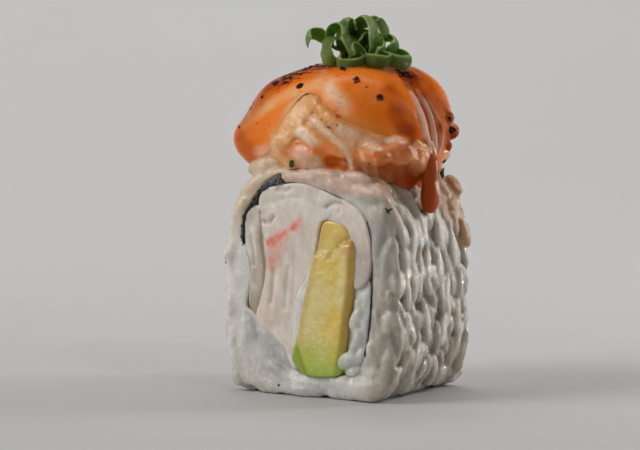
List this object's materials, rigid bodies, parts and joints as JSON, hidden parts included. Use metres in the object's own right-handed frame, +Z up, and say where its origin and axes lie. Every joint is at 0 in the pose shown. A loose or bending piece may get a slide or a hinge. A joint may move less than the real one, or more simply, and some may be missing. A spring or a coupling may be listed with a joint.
{
  "type": "uramaki roll",
  "caption": "One slice of inside-out sushi roll standing on its rice edge, with nori, crab stick, avocado and cream cheese at both cuts, under torched seafood, thick sauce and spring onion.",
  "frame": {"origin": "on the surface that the slice stands on, under the middle of the rice", "axes": "+Z up through the topping, Y along the roll's axis with the shown cut face at -Y, +X to the right of that face"},
  "size_m": [0.0392, 0.0311, 0.0657],
  "materials": {
    "rice": "cooked short-grain rice, moist, translucent and slightly glossy",
    "nori": "roasted seaweed sheet, near black, finely wrinkled",
    "crab_stick": "white layered crab stick with faint coral streaks, moist",
    "avocado": "ripe avocado, ochre yellow turning lime green at its skin side, moist",
    "cream_cheese": "fresh cream cheese, smooth white",
    "seafood": "chopped cooked seafood in sauce, peach to beige, browned in places, wet",
    "sauce": "thick spicy mayonnaise, torched, orange, wet gloss with dark brown blisters",
    "spring_onion": "fine curls of green spring onion, pale on the inner side"
  },
  "bodies": {
    "root": {"rice_outer": "rice", "rice_inner": "rice", "nori_sheet": "nori", "crab_stick": "crab_stick", "crab_wrap": "crab_stick", "crab_strip": "crab_stick", "avocado": "avocado", "cream_cheese": "cream_cheese", "seafood": "seafood", "sauce": "sauce", "spring_onion": "spring_onion"}
  },
  "joints": []
}
